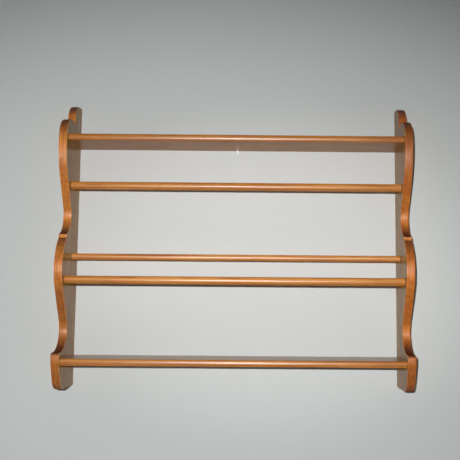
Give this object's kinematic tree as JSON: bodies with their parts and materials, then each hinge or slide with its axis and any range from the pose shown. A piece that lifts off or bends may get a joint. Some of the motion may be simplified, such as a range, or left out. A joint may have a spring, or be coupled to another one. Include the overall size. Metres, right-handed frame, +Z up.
{
  "type": "wall plate rack",
  "caption": "Wall-hung wooden plate rack: scrolled side boards, a shelf above and one below, round rods between that hold standing plates, keyhole hangers behind.",
  "frame": {"origin": "midway between the two keyhole entry holes, on the plane of the back edges that touch the wall", "axes": "+X along the wall to the right as seen from the front, +Y towards the wall (the front faces -Y), +Z up"},
  "size_m": [0.95, 0.15, 0.786],
  "materials": {
    "lacquered_wood": "honey-brown stain under glossy clear lacquer",
    "dowel_wood": "bare, pale, fluted-dowel hardwood",
    "plate_steel": "zinc-plated sheet steel",
    "screw_steel": "yellow-zinc plated steel"
  },
  "bodies": {
    "root": {"left_side_board": "lacquered_wood", "right_side_board": "lacquered_wood", "top_shelf": "lacquered_wood", "bottom_shelf": "lacquered_wood", "upper_rod": "lacquered_wood", "middle_rod": "lacquered_wood", "lower_rod": "lacquered_wood", "top_left_dowels": "dowel_wood", "top_right_dowels": "dowel_wood", "bottom_left_dowels": "dowel_wood", "bottom_right_dowels": "dowel_wood", "left_hanger_plate": "plate_steel", "right_hanger_plate": "plate_steel", "left_hanger_screws": "screw_steel", "right_hanger_screws": "screw_steel", "centre_wall_plate": "plate_steel", "centre_plate_screws": "screw_steel"}
  },
  "joints": []
}
